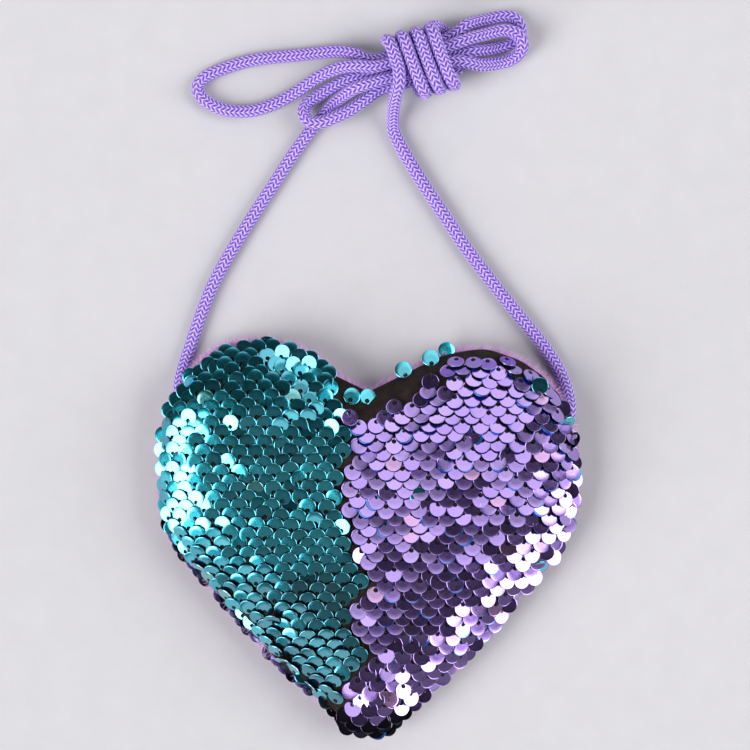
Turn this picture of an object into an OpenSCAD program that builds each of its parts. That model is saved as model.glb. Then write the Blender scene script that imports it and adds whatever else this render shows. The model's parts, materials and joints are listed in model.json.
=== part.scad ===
// Heart shaped purse with reversible sequins on the front, a plush back with a
// coil zip, and one knotted cord sewn in at both shoulders. It lies on its back:
// X is the width, Y runs from the tip to the lobes, Z is up through the front.

/* [Heart outline] */
// Width of the fabric heart
heart_w = 118; // [112:1:126]
// Height of the fabric heart, tip to lobe top
heart_h = 108; // [102:1:114]
// Radius of the two lobes
lobe_r = 28.5; // [27:0.5:30]
// Depth of the cleft below the lobe tops
cleft_drop = 12.3; // [10:0.5:15]
// Radius of the flanks
side_r = 32; // [30:0.5:35]
// Height of the flank centres above the middle
side_y = 15; // [13:0.5:17]
// Radius of the lower belly
hip_r = 37.4; // [36:0.2:39]
// Depth of the belly centre below the middle
hip_drop = 8; // [6:0.5:10]
// Radius of the blunt tip
tip_r = 11.5; // [9:0.5:13]

/* [Padding and layers] */
// Height of the sewn edge above the table
seam_z = 6.4; // [6:0.1:7.5]
// Rise of the front above the sewn edge
front_rise = 10.5; // [10:0.5:13]
// How far in from the edge the front still climbs
front_reach = 24; // [20:1:27]
// How far in from the edge the back still falls
back_reach = 13; // [11:0.5:14]
// Roundness of the padded edge, 2 being an ellipse
puff_power = 2.2; // [2:0.1:2.6]
// Thickness of the mesh cloth that carries the sequins
backing_t = 0.6; // [0.5:0.05:0.8]
// Thickness of the front wadding
wadding_t = 2.2; // [1.8:0.1:2.6]
// Thickness of the satin lining
lining_t = 0.3; // [0.25:0.05:0.4]
// Thickness of the plush back, pile included
plush_t = 2; // [1.8:0.1:2.2]

/* [Sequins] */
// Diameter of a sequin
sequin_d = 4.8; // [4.4:0.1:5.2]
// Thickness of a sequin
sequin_t = 0.12; // [0.1:0.01:0.15]
// Distance between sequins along a row
sequin_pitch = 4.9; // [4.9:0.1:5.6]
// Distance between rows
row_pitch = 2.6; // [2.5:0.1:3]
// Lean of a sequin against the cloth, degrees
sequin_lean = 9; // [8:0.5:12]
// Distance from the thread hole to the sequin's centre
hole_offset = 1.7; // [1.4:0.1:1.9]
// Height of the thread hole above the cloth
sequin_lift = 0.35; // [0.3:0.05:0.5]

/* [Zip] */
// Height of the zip above the middle of the heart
zip_y = 15; // [10:1:18]
// Length of the slot in the plush
slot_l = 84; // [76:1:88]
// Width of the slot in the plush
slot_w = 10.4; // [10:0.2:12]
// Width of one tape
tape_w = 11; // [9:0.5:12]
// Thickness of the tape
tape_t = 0.5; // [0.4:0.05:0.6]
// Length of one coil turn
coil_pitch = 1.25; // [1.1:0.05:1.5]
// Width of one coil
coil_w = 2.4; // [2:0.1:2.6]
// Depth of the coil below the tape
coil_t = 1.5; // [1.3:0.1:1.6]
// Length of the slider
slider_l = 9; // [8:0.5:11]
// Width of the slider
slider_w = 8; // [7.4:0.1:8.4]
// Thickness of the slider's plates
plate_t = 0.8; // [0.7:0.05:0.9]
// Length of the pull
pull_l = 16; // [14:1:18]
// Width of the pull
pull_w = 5.2; // [4.6:0.2:6]
// Thickness of the pull
pull_t = 0.7; // [0.6:0.05:0.8]
// Bore at the free end of the pull
pull_bore_d = 2.6; // [2:0.2:3]

/* [Cord] */
// Diameter of the knitted cord
cord_d = 3.5; // [3.2:0.1:3.6]

/* [Hidden] */

// Small values that the sizes above lean on
fit_gap = 0.1;          // running clearance of the zip's moving pieces
soft_gap = 0.3;         // clearance between soft layers and moving pieces
layer_gap = 0.02;       // hairline between the wadding and the lining
cut_over = 1;           // overrun of every cut
outline_step = 8;       // degrees between outline points
ring_shares = [1, 0.985, 0.955, 0.91, 0.84, 0.73, 0.52, 0.26];
profile_steps = 24;     // points on the table of arc lengths

// Heart outline: the hull of four circles and the cleft point, mirrored
lobe_c = [heart_w / 2 - lobe_r, heart_h / 2 - lobe_r];
side_c = [heart_w / 2 - side_r, side_y];
hip_c = [0, -hip_drop];
tip_c = [0, tip_r - heart_h / 2];
cleft_c = [0, heart_h / 2 - cleft_drop];
circles = [[cleft_c, 0], [lobe_c, lobe_r], [side_c, side_r], [hip_c, hip_r], [tip_c, tip_r]];
heart_mid = [0, side_y / 2];

function unit(v) = v / norm(v);
function turned(a) = [cos(a), sin(a)];
function support(a) =
    let(n = turned(a), reach = [for (c = circles) c[0] * n + c[1]], far = max(reach),
        at = [for (i = [0 : len(circles) - 1]) if (reach[i] == far) circles[i]][0])
    at[0] + at[1] * n;
right_side = [for (a = [-90 : outline_step : 130]) let(p = support(a)) if (p.x >= 0 && p != cleft_c) p];
half_outline = concat([for (i = [0 : len(right_side) - 1])
    if (i == 0 || norm(right_side[i] - right_side[i - 1]) > sequin_t) right_side[i]], [cleft_c]);
full_outline = concat(half_outline,
    [for (i = [len(half_outline) - 2 : -1 : 1]) [-half_outline[i].x, half_outline[i].y]]);

// Nearest point of the outline to p, and p's depth inside it
function on_edge(p, a, b) = let(e = b - a) a + e * max(0, min(1, ((p - a) * e) / (e * e)));
function nearest(p) =
    let(q = [abs(p.x), p.y],
        feet = [for (i = [0 : len(half_outline) - 2]) on_edge(q, half_outline[i], half_outline[i + 1])],
        gaps = [for (f = feet) norm(q - f)], least = min(gaps),
        k = [for (i = [0 : len(gaps) - 1]) if (gaps[i] == least) i][0],
        e = half_outline[k + 1] - half_outline[k], w = q - half_outline[k],
        inside = e.x * w.y - e.y * w.x >= 0)
    [inside ? least : -least, [p.x < 0 ? -feet[k].x : feet[k].x, feet[k].y]];
function depth(p) = nearest(p)[0];

// Padded profile: height gained at depth d, for a rise over a reach
function puff(d, rise, reach) =
    rise * pow(1 - pow(1 - max(0, min(1, d / reach)), puff_power), 1 / puff_power);

// A padded layer: heart outline drawn in by inset, with its height drawn in alike
function ring_at(share, inset) =
    [for (p = full_outline) let(near = unit(heart_mid - p), rim = p + near * inset)
        heart_mid + share * (rim - heart_mid)];
function layer_points(inset, rise, reach, base) =
    [for (s = ring_shares) for (p = ring_at(s, inset))
        [p.x, p.y, base + (s == 1 ? 0 : puff(depth(p) - inset, rise, reach))]];
function top_point(inset, rise, reach, base) =
    [heart_mid.x, heart_mid.y, base + puff(depth(heart_mid) - inset, rise, reach)];

// Closed shell between two such layers, its rim flat at the seam
module puffed_shell(outer, inner, rise, reach, base, up) {
    n = len(full_outline);
    m = len(ring_shares);
    flip = up ? 1 : -1;
    outside = layer_points(outer, flip * (rise - outer), reach - outer, base);
    inside = layer_points(inner, flip * (rise - inner), reach - inner, base);
    points = concat(outside, [top_point(outer, flip * (rise - outer), reach - outer, base)],
        inside, [top_point(inner, flip * (rise - inner), reach - inner, base)]);
    half = n * m + 1;
    skin = [for (k = [0 : m - 2]) for (i = [0 : n - 1]) let(j = (i + 1) % n)
        each [[k * n + i, (k + 1) * n + i, (k + 1) * n + j], [k * n + i, (k + 1) * n + j, k * n + j]]];
    cap = [for (i = [0 : n - 1]) [(m - 1) * n + i, half - 1, (m - 1) * n + (i + 1) % n]];
    rim = [for (i = [0 : n - 1]) let(j = (i + 1) % n)
        each [[i, j, half + j], [i, half + j, half + i]]];
    upper = concat(skin, cap);
    lower = [for (f = upper) [f[2] + half, f[1] + half, f[0] + half]];
    faces = concat(upper, lower, rim);
    polyhedron(points, up ? faces : [for (f = faces) [f[2], f[1], f[0]]]);
}

// Front layers, outside to inside
module front_backing() {
    color("#2a2226") puffed_shell(0, backing_t, front_rise, front_reach, seam_z, true);
}
wadding_in = backing_t + wadding_t;
module front_wadding() {
    color("#e8e4e6") puffed_shell(backing_t, wadding_in, front_rise, front_reach, seam_z, true);
}
lining_in = wadding_in + lining_t;
module front_lining() {
    color("#8f6fb5")
        puffed_shell(wadding_in + layer_gap, lining_in, front_rise, front_reach, seam_z, true);
}

// Zip heights, from the table up: bridge, pull pin, outer plate, coil, tape, inner plate
bridge_z = 0.15;
bridge_t = 0.7;
pin_d = 1.1;
pin_z = bridge_z + bridge_t + fit_gap + pin_d / 2;
outer_plate_z = pin_z + pin_d / 2 + fit_gap;
coil_z = outer_plate_z + plate_t + fit_gap;
tape_z = coil_z + coil_t;
inner_plate_z = tape_z + tape_t + soft_gap;
hem_w = 3;
hem_in = slot_w / 2;
tape_l = slot_l + 2 * hem_w;
post_w = 0.8;
post_l = 2.6;
part_y = post_w / 2 + fit_gap;

// Back layers: a bowl cut in two at the zip, with a slot for the coil
module back_cut(side) {
    translate([0, zip_y + side * heart_h / 2, seam_z / 2])
        cube([heart_w + 2 * cut_over, heart_h, seam_z + 2 * cut_over], center = true);
}
module slot_cut(half_w, half_l) {
    translate([0, zip_y, seam_z / 2])
        cube([2 * half_l, 2 * half_w, seam_z + 2 * cut_over], center = true);
}
module back_half(outer, inner, side, half_w, half_l) {
    difference() {
        intersection() {
            puffed_shell(outer, inner, seam_z, back_reach, seam_z, false);
            back_cut(side);
        }
        slot_cut(half_w, half_l);
    }
}
module hem(side) {
    y0 = side > 0 ? zip_y + hem_in : zip_y - hem_in - hem_w;
    translate([-slot_l / 2, y0, plush_t])
        cube([slot_l, hem_w, tape_z - plush_t]);
}
module back_plush(side) {
    color("#d9a3e2") {
        back_half(0, plush_t, side, hem_in, slot_l / 2);
        hem(side);
    }
}
module back_plush_upper() { back_plush(1); }
module back_plush_lower() { back_plush(-1); }

back_wadding_t = tape_z - plush_t;
module tape_seat() {
    translate([0, zip_y, tape_z + seam_z / 2])
        cube([tape_l + 2 * layer_gap, 2 * (part_y + tape_w + layer_gap), seam_z], center = true);
}
module back_wadding(side) {
    color("#e8e4e6") difference() {
        back_half(plush_t, plush_t + back_wadding_t, side, hem_in + hem_w, slot_l / 2 + hem_w);
        tape_seat();
    }
}
module back_wadding_upper() { back_wadding(1); }
module back_wadding_lower() { back_wadding(-1); }

back_lining_in = plush_t + back_wadding_t + tape_t;
module back_lining(side) {
    color("#8f6fb5")
        back_half(back_lining_in + layer_gap, back_lining_in + lining_t, side,
            tape_w - hem_w, slot_l / 2 + hem_w);
}
module back_lining_upper() { back_lining(1); }
module back_lining_lower() { back_lining(-1); }

// Zip tapes, with a running slot between them for the slider's post
coil_l = slot_l - 6 * coil_pitch;
module zip_tape(side) {
    color("#8a5fc0") translate([0, zip_y + side * (part_y + tape_w / 2), tape_z + tape_t / 2])
        cube([tape_l, tape_w, tape_t], center = true);
}
module zip_tape_upper() { zip_tape(1); }
module zip_tape_lower() { zip_tape(-1); }

// Coils: a core sewn along each tape and turns that reach to the slot
coil_core_share = 0.5;
coil_turn_share = 0.55;
turn_t_share = 0.8;
coil_turns = floor(coil_l / coil_pitch) - 1;
module zip_coil(side, shift) {
    core_w = coil_w * coil_core_share;
    turn_l = coil_pitch * coil_turn_share;
    color("#7a4fb0") translate([0, zip_y, coil_z + coil_t / 2]) {
        translate([0, side * (part_y + coil_w - core_w / 2), 0])
            cube([coil_l, core_w, coil_t], center = true);
        for (i = [1 : coil_turns])
            translate([(i + shift) * coil_pitch - coil_l / 2, side * (part_y + coil_w / 2), 0])
                cube([turn_l, coil_w, coil_t * turn_t_share], center = true);
    }
}
module zip_coil_upper() { zip_coil(1, 0); }
module zip_coil_lower() { zip_coil(-1, 0.5); }

// Slider at the closed end of its travel, its post in the slot between the coils
slider_x = coil_l / 2 - slider_l / 2;
post_x = slider_x + (slider_l - post_l) / 2;
flange_t = 0.7;
bridge_w = 1.6;
bridge_l = 6.4;
bridge_leg = 0.9;
module slider_plate(z) {
    translate([slider_x, zip_y, z]) linear_extrude(plate_t)
        intersection() {
            square([slider_l, slider_w], center = true);
            translate([slider_w / 2 - slider_l / 2, 0]) circle(r = slider_l - slider_w / 2);
        }
}
module slider_flange(side, z0, z1) {
    translate([slider_x - slider_w / 4, zip_y + side * (slider_w - flange_t) / 2, (z0 + z1) / 2])
        cube([slider_w / 2, flange_t, z1 - z0], center = true);
}
module slider_bridge() {
    leg_h = outer_plate_z - bridge_z;
    translate([slider_x, zip_y, bridge_z + bridge_t / 2])
        cube([bridge_l, bridge_w, bridge_t], center = true);
    for (end = [-1, 1])
        translate([slider_x + end * (bridge_l - bridge_leg) / 2, zip_y, bridge_z + leg_h / 2])
            cube([bridge_leg, bridge_w, leg_h], center = true);
}
module zip_slider() {
    color("#c9c9d2") {
        slider_plate(outer_plate_z);
        slider_plate(inner_plate_z);
        translate([post_x, zip_y, (outer_plate_z + inner_plate_z + plate_t) / 2])
            cube([post_l, post_w, inner_plate_z + plate_t - outer_plate_z], center = true);
        for (side = [-1, 1]) {
            slider_flange(side, outer_plate_z, tape_z - fit_gap);
            slider_flange(side, tape_z + tape_t + soft_gap / 2, inner_plate_z + plate_t);
        }
        slider_bridge();
    }
}

// Stops: a bar across both tapes at the open end, a crimp on each tape at the closed end
stop_l = 1.2;
module zip_end_stops() {
    color("#b9b9c2") {
        translate([-(coil_l + stop_l) / 2, zip_y, tape_z - coil_t / 2])
            cube([stop_l, 2 * (part_y + coil_w), coil_t], center = true);
        for (side = [-1, 1])
            translate([slider_x + slider_l / 2 + stop_l / 2 + fit_gap,
                zip_y + side * (part_y + coil_w / 2), tape_z - coil_t / 2])
                cube([stop_l, coil_w, coil_t], center = true);
    }
}

// Pull: a pin under the bridge, two arms beside it and a rounded tab with a bore
arm_w = 1;
arm_gap = bridge_w + 2 * soft_gap;
eye_l = bridge_l / 2 + soft_gap;
module zip_pull() {
    end_x = slider_x - pull_l + pull_w / 2;
    color("#c9c9d2") {
        translate([slider_x, zip_y - arm_gap / 2 - arm_w, pin_z]) rotate([-90, 0, 0])
            cylinder(h = arm_gap + 2 * arm_w, d = pin_d);
        translate([0, 0, pin_z - pull_t / 2]) difference() {
            union() {
                for (side = [-1, 1])
                    translate([slider_x - eye_l / 2 - arm_w / 2, zip_y + side * (arm_gap + arm_w) / 2, pull_t / 2])
                        cube([eye_l + arm_w, arm_w, pull_t], center = true);
                translate([end_x, zip_y - pull_w / 2, 0])
                    cube([slider_x - eye_l - end_x, pull_w, pull_t]);
                translate([end_x, zip_y, 0]) cylinder(h = pull_t, d = pull_w);
            }
            translate([end_x, zip_y, -cut_over]) cylinder(h = pull_t + 2 * cut_over, d = pull_bore_d);
        }
    }
}

// Sequins: a staggered lattice on the flat cloth, carried onto the padded front
arc_table = [for (i = 0, d = 0, s = 0; i <= profile_steps; i = i + 1,
        e = front_reach * pow(i / profile_steps, 2),
        s = s + norm([e - d, puff(e, front_rise, front_reach) - puff(d, front_rise, front_reach)]),
        d = e) [s, d]];
arc_full = arc_table[profile_steps][0];
arc_extra = arc_full - front_reach;
function on_front(q) =
    let(near = nearest(q), s = near[0] + arc_extra,
        d = s >= arc_full ? near[0] : lookup(s, arc_table),
        inward = abs(near[0]) < sequin_t ? unit(heart_mid - near[1])
            : (near[0] > 0 ? unit(q - near[1]) : unit(near[1] - q)),
        p = near[1] + inward * d)
    [p.x, p.y, seam_z + puff(d, front_rise, front_reach), s];

module sequin_disc() {
    cylinder(h = sequin_t, d = sequin_d);
}
module sequin_at(q, way) {
    here = on_front(q);
    ahead = on_front(q + [0, way * hole_offset]);
    side = on_front(q + [hole_offset, 0]);
    t = unit([for (i = [0:2]) ahead[i] - here[i]]);
    s = unit([for (i = [0:2]) side[i] - here[i]]);
    n = unit(cross(s, t)) * way;
    r = cross(t, n);
    multmatrix([[r.x, t.x, n.x, here[0]], [r.y, t.y, n.y, here[1]], [r.z, t.z, n.z, here[2]]])
        translate([0, 0, sequin_lift]) rotate([sequin_lean, 0, 0]) translate([0, hole_offset, 0])
            sequin_disc();
}

// Three sequins on the right lobe that stand free and turn over on their thread: two on
// the run from the cleft to the lobe, one on the outer shoulder. Each has its thread
// hole's distance inside the edge, its height above the cloth, its heading and its lean
shoulder_run = [cleft_c, half_outline[len(half_outline) - 2]];
shoulder_share = [0.5, 0.85];
shoulder_bearing = 42.2;
flip_inset = [0.2, 0.7, 3.9];
flip_lift = [3.5, 1.6, 2.1];
flip_heading = [20, 10, 0];
flip_lean = [4, 8, -18];
function on_shoulder(share, inset) =
    let(e = shoulder_run[1] - shoulder_run[0]) shoulder_run[0] + share * e + inset * unit([e.y, -e.x]);
function flip_place(k) = k < len(shoulder_share) ? on_shoulder(shoulder_share[k], flip_inset[k])
    : support(shoulder_bearing) - flip_inset[k] * turned(shoulder_bearing);
function flip_hole(k) = let(p = flip_place(k))
    [p.x, p.y, seam_z + puff(flip_inset[k], front_rise, front_reach) + flip_lift[k]];
flip_clear = flip_place(2) + [0, hole_offset + soft_gap];
edge_keep = 2.2;
bare_band = 2.4;
function colour_line(y) = heart_w * lookup(y / heart_h, [
    [-0.5, -0.07], [-0.37, -0.057], [-0.321, -0.018], [-0.291, 0.003], [-0.259, -0.006],
    [-0.213, -0.045], [-0.154, -0.033], [-0.083, 0.01], [-0.009, -0.039], [0.074, -0.039],
    [0.12, -0.059], [0.204, -0.042], [0.259, -0.031], [0.352, -0.042], [0.5, -0.042]]);
rows = ceil(heart_h / row_pitch / 2) + 3;
columns = ceil(heart_w / sequin_pitch / 2) + 3;
function lattice(i, j) = [(i + (j % 2 == 0 ? 0 : 0.5)) * sequin_pitch, j * row_pitch];
function on_cloth(q) = nearest(q)[0] + arc_extra > edge_keep && norm(q - cleft_c) > sequin_d;
function is_teal(q) = q.x < colour_line(q.y);
function teal_kept(q) = is_teal(q) && is_teal(q + [0, 2 * row_pitch])
    && is_teal(q + [sequin_pitch / 2, row_pitch]) && on_cloth(q);
function purple_kept(q) = !is_teal(q) && on_cloth(q) && on_cloth(q + [0, bare_band])
    && norm(q - flip_clear) > sequin_d;
module sequin_field(way) {
    for (j = [-rows : rows], i = [-columns : columns]) {
        q = lattice(i, j);
        if (way > 0 ? teal_kept(q) : purple_kept(q)) sequin_at(q, way);
    }
}
module teal_sequins() { color("#1b7f86") sequin_field(1); }
module purple_sequins() { color("#a487d6") sequin_field(-1); }

// The free sequins lean on the field; each one's hole has a thread's room round it
sequin_hole_d = 1.3;
module flip_sequin(k) {
    color("#5cc9dd") translate(flip_hole(k)) rotate([0, 0, flip_heading[k]])
        rotate([flip_lean[k], 0, 0]) difference() {
            translate([0, hole_offset, 0]) sequin_disc();
            translate([0, 0, -cut_over]) cylinder(h = 2 * cut_over, d = sequin_hole_d);
        }
}
module flip_sequin_1() { flip_sequin(0); }
module flip_sequin_2() { flip_sequin(1); }
module flip_sequin_3() { flip_sequin(2); }

// Cord route: left shoulder, core of the knot and its loops, wraps, right shoulder
knot_at = [14.7, 136];
knot_turn = 15;
function knot_point(p) = [
    knot_at.x + p.x * cos(knot_turn) - p.y * sin(knot_turn),
    knot_at.y + p.x * sin(knot_turn) + p.y * cos(knot_turn), p.z];
left_arm_route = [
    [-52.9, 37.2, 4.6], [-54, 41.4, 4.4], [-53.9, 45, 3.4], [-53, 49, 2.4], [-51.8, 53, 1.9],
    [-48.1, 63.9, 1.85], [-44.7, 72.5, 1.85], [-40.1, 81.1, 1.85], [-34.4, 90.5, 1.85],
    [-28.1, 100.2, 1.85], [-21.9, 109.7, 1.85]];
left_in_route = [[-17.5, 115.8, 1.9], [-13.5, 120.6, 2], [-10.6, 124, 2.4], [-7.2, 126.6, 5.6],
    [-3.5, 128.7, 8.9], [2.7, 130.6, 9.8]];
right_low_route = [[-7, -2.1, 9.8], [0, -2.1, 9.8], [7, -2.1, 9.8], [10, -2.5, 9.7], [13, -3.5, 9],
    [16, -4.9, 6.8], [19, -5.4, 4.3], [22, -5.6, 2.8], [25.5, -5.6, 2.8], [28.5, -4.4, 4.2],
    [29.9, -1.6, 5.9], [28.8, 1.1, 6.2], [26, 2.8, 6], [23, 3.1, 5.8], [20, 3.1, 6.4], [16, 3, 8.3],
    [12, 2.6, 9.7], [7, 2.1, 9.8], [0, 2.1, 9.8], [-7, 2.1, 9.8]];
big_loop_route = [[1.6, 134.7, 9.8], [-3.5, 135, 9.2], [-8.7, 134.4, 7.2], [-14.7, 131.9, 4.6],
    [-20.7, 128, 2.5], [-26.7, 124.8, 1.9], [-32.7, 122.8, 1.9], [-38.7, 122.5, 1.85],
    [-43.6, 123.7, 1.85], [-47.6, 126.2, 1.85], [-49, 129.4, 1.85], [-46.7, 132.5, 1.85],
    [-40.7, 135.1, 1.85], [-32.7, 137.3, 1.85], [-20.7, 138.6, 1.85], [-15, 139.2, 2.1],
    [-9, 139.6, 3.4], [-4, 138.8, 5], [1, 136.9, 6.1]];
right_high_route = [[-7, 4.2, 6.1], [0, 4.2, 6.1], [7, 4.2, 6.1], [11.5, 5.3, 6.3], [15, 6.9, 5.8],
    [18.5, 7.4, 3.4], [22, 7.3, 1.9], [26.5, 7.1, 1.85], [29.5, 5.8, 1.85], [30.6, 3, 1.85], [29.5, 0.2, 1.85],
    [26.5, -1.1, 1.85], [22, -1.2, 1.95], [18.6, -1, 3.8], [15.2, -0.6, 5.9], [12, -0.2, 6.2], [7, 0, 6.1],
    [0, 0, 6.1], [-7, 0, 6.1]];
small_loop_route = [[2.2, 132.6, 6], [-4, 131.9, 5], [-9, 130, 3.4], [-14, 127.1, 2.2],
    [-17.6, 124.6, 2.6], [-18.5, 121.8, 4], [-17, 119.4, 5.4], [-13.8, 119, 6.2],
    [-10, 120.3, 6.2], [-5.4, 122.5, 5.9], [-0.8, 125.6, 6], [3.2, 128.4, 6.1]];
under_route = [[-7, -4.2, 6.1], [0, -4.2, 6.1], [6.8, -4.2, 6.1], [10, -4.3, 5], [11.9, -2.8, 2.6],
    [12, 0.4, 1.85], [10.8, 4.2, 1.85], [8.9, 7.6, 2.3], [6.9, 9.2, 4.6]];
// The wraps: a rounded section round the core, with the place along it at each quarter turn
wrap_centre = [0, 7.95];
wrap_half = [8.6, 6.15];
wrap_power = 3.2;
wrap_places = [5.2, 6.2, 8.0, 4.9, 1.0, 2.0, 3.8, 0.7, -3.2, -2.2, -0.4, -3.5, -7.4, -6.4];
wrap_quarter = 6;
function bulge(c) = sign(c) * pow(abs(c), 2 / wrap_power);
function wrap_point(k) =
    let(a = k * 90 / wrap_quarter, q = floor(k / wrap_quarter), f = k / wrap_quarter - q,
        u = wrap_places[q] + f * (wrap_places[min(q + 1, len(wrap_places) - 1)] - wrap_places[q]))
    [u, wrap_centre.x + wrap_half.x * bulge(cos(a)), wrap_centre.y + wrap_half.y * bulge(sin(a))];
wrap_count = (len(wrap_places) - 1) * wrap_quarter;
wrap_route = [for (k = [0 : wrap_quarter / 2 : wrap_count]) wrap_point(k)];
right_out_route = [[-7.4, -4.4, 13.7], [-9.2, -7.6, 10.8], [-10.6, -10.6, 6.8], [-11.6, -13.8, 3.3],
    [-12.1, -17, 1.95]];
right_arm_route = [[10.4, 110.5, 1.85], [16.1, 101.1, 1.85], [21.9, 92.5, 1.85], [27.6, 83.9, 1.85],
    [34.7, 74.5, 1.85], [41.9, 65.4, 1.85], [49, 56.8, 1.85], [53.6, 50.2, 1.85], [56.2, 44.6, 2.2],
    [57.4, 40.2, 3.2], [57.6, 36, 4.4], [56.4, 31.8, 4.6]];
function knot_points(route) = [for (p = route) knot_point(p)];
bundle_route = concat(left_in_route, knot_points(right_low_route), big_loop_route,
    knot_points(right_high_route), small_loop_route, knot_points(under_route),
    knot_points(wrap_route), knot_points(right_out_route));
cord_route = concat(left_arm_route, bundle_route, right_arm_route);
first_in = len(left_arm_route);
last_in = first_in + len(bundle_route) - 1;

// A smooth run through the route between two of its points, with a ring every gap
function spline(p0, p1, p2, p3, t) =
    0.5 * (2 * p1 + t * (p2 - p0) + t * t * (2 * p0 - 5 * p1 + 4 * p2 - p3)
        + t * t * t * (3 * p1 - p0 - 3 * p2 + p3));
function route_at(i, t) = let(r = cord_route, n = len(r) - 1)
    spline(r[max(i - 1, 0)], r[i], r[min(i + 1, n)], r[min(i + 2, n)], t);
function run(from, to, gap) = concat(
    [for (i = [from : to - 1])
        let(steps = max(1, round(norm(cord_route[i + 1] - cord_route[i]) / gap)))
        for (k = [0 : steps - 1]) route_at(i, k / steps)],
    [cord_route[to]]);

// A tube along a run: each ring is carried from the last one without twist
function route_heading(k) =
    unit(cord_route[min(k + 1, len(cord_route) - 1)] - cord_route[max(k - 1, 0)]);
function square_to(v, t) = unit(v - (v * t) * t);
module tube(from, to, gap, sides) {
    run = run(from, to, gap);
    n = len(run);
    headings = [for (i = [0 : n - 1])
        i == 0 ? route_heading(from) : (i == n - 1 ? route_heading(to) : unit(run[i + 1] - run[i - 1]))];
    sideways = [for (i = 0, t = headings[0], s = square_to([0, 0, 1], t); i < n;
        i = i + 1, t = headings[min(i, n - 1)], s = square_to(s, t)) [s, cross(t, s)]];
    points = [for (i = [0 : n - 1]) for (k = [0 : sides - 1])
        run[i] + cord_d / 2 * (cos(k * 360 / sides) * sideways[i][0] + sin(k * 360 / sides) * sideways[i][1])];
    walls = [for (i = [0 : n - 2]) for (k = [0 : sides - 1]) let(m = (k + 1) % sides)
        each [[i * sides + k, i * sides + m, (i + 1) * sides + m],
            [i * sides + k, (i + 1) * sides + m, (i + 1) * sides + k]]];
    caps = [for (k = [1 : sides - 2])
        each [[0, k + 1, k], [(n - 1) * sides, (n - 1) * sides + k, (n - 1) * sides + k + 1]]];
    polyhedron(points, [for (f = concat(walls, caps)) [f[2], f[1], f[0]]]);
}
arm_ring_gap = 2.4 * cord_d;
bundle_ring_gap = 0.9 * cord_d;
bundle_run = run(first_in, last_in, bundle_ring_gap);
module cord_arm_left() { color("#a57fe0") tube(0, first_in, arm_ring_gap, 8); }
module cord_arm_right() { color("#a57fe0") tube(last_in, len(cord_route) - 1, arm_ring_gap, 8); }
module cord_hank() { color("#a57fe0") tube(first_in, last_in, bundle_ring_gap, 6); }

// Least gap of the bundle to itself, taken between points well apart along it
away = 4 * cord_d;
travelled = [for (i = 0, s = 0; i < len(bundle_run); i = i + 1,
    s = s + (i < len(bundle_run) ? norm(bundle_run[i] - bundle_run[i - 1]) : 0)) s];
bundle_gap = min([for (i = [0 : len(bundle_run) - 2]) for (j = [i + 1 : len(bundle_run) - 1])
    if (travelled[j] - travelled[i] > away) norm(bundle_run[i] - bundle_run[j]) - cord_d]);
echo(bundle_gap = bundle_gap, bundle_length = travelled[len(travelled) - 1]);  // cord_hank

front_backing();
front_wadding();
front_lining();
back_plush_upper();
back_plush_lower();
back_wadding_upper();
back_wadding_lower();
back_lining_upper();
back_lining_lower();
zip_tape_upper();
zip_tape_lower();
zip_coil_upper();
zip_coil_lower();
zip_end_stops();
zip_slider();
zip_pull();
teal_sequins();
purple_sequins();
flip_sequin_1();
flip_sequin_2();
flip_sequin_3();
cord_arm_left();
cord_arm_right();
cord_hank();
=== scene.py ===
import json
import math

import bpy
import bmesh
import numpy as np
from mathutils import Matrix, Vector


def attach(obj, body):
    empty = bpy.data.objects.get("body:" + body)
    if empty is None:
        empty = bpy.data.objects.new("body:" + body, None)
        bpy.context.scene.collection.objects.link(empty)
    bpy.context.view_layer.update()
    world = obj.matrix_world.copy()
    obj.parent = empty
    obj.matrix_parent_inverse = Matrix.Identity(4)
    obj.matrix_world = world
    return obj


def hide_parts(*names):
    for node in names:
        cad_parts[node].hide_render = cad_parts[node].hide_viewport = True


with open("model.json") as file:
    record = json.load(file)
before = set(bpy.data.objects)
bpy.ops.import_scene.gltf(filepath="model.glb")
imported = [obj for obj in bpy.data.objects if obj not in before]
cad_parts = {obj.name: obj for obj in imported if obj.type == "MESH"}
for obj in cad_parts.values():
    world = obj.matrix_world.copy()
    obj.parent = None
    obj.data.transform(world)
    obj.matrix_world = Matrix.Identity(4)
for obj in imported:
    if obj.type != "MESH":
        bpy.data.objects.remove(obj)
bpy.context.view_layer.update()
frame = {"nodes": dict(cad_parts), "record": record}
MM = 0.001
SEED = 11
rng = np.random.default_rng(SEED)
scene = bpy.context.scene

# Camera: straight above the sheet, with a long lens
VIEW_CENTRE, VIEW_WIDTH = (1.86, 46.8), 214.0
CAMERA_HEIGHT, FOCUS_Z = 1150.0, 9.0
SENSOR_MM, CLIP_END_M = 36.0, 20.0
cam_data = bpy.data.cameras.new("camera")
cam_data.sensor_width = SENSOR_MM
cam_data.lens = SENSOR_MM * (CAMERA_HEIGHT - FOCUS_Z) / VIEW_WIDTH
cam_data.clip_end = CLIP_END_M
camera = bpy.data.objects.new("camera", cam_data)
camera.location = (VIEW_CENTRE[0] * MM, VIEW_CENTRE[1] * MM, CAMERA_HEIGHT * MM)
scene.collection.objects.link(camera)
scene.camera = camera
scene.view_settings.view_transform = "Standard"


def unit(v):
    return v / np.maximum(np.linalg.norm(v, axis=-1, keepdims=True), 1e-12)


def smooth(x, low, high):
    t = np.clip((np.asarray(x, float) - low) / (high - low), 0, 1)
    return t * t * (3 - 2 * t)


def run_lengths(points):
    """How far along the polyline each of its points lies."""
    return np.concatenate([[0], np.cumsum(np.linalg.norm(np.diff(points, axis=0), axis=1))])


def places_at(at, lengths, points):
    """The polyline's points at those distances along it."""
    return np.column_stack([np.interp(at, lengths, column) for column in points.T])


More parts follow.
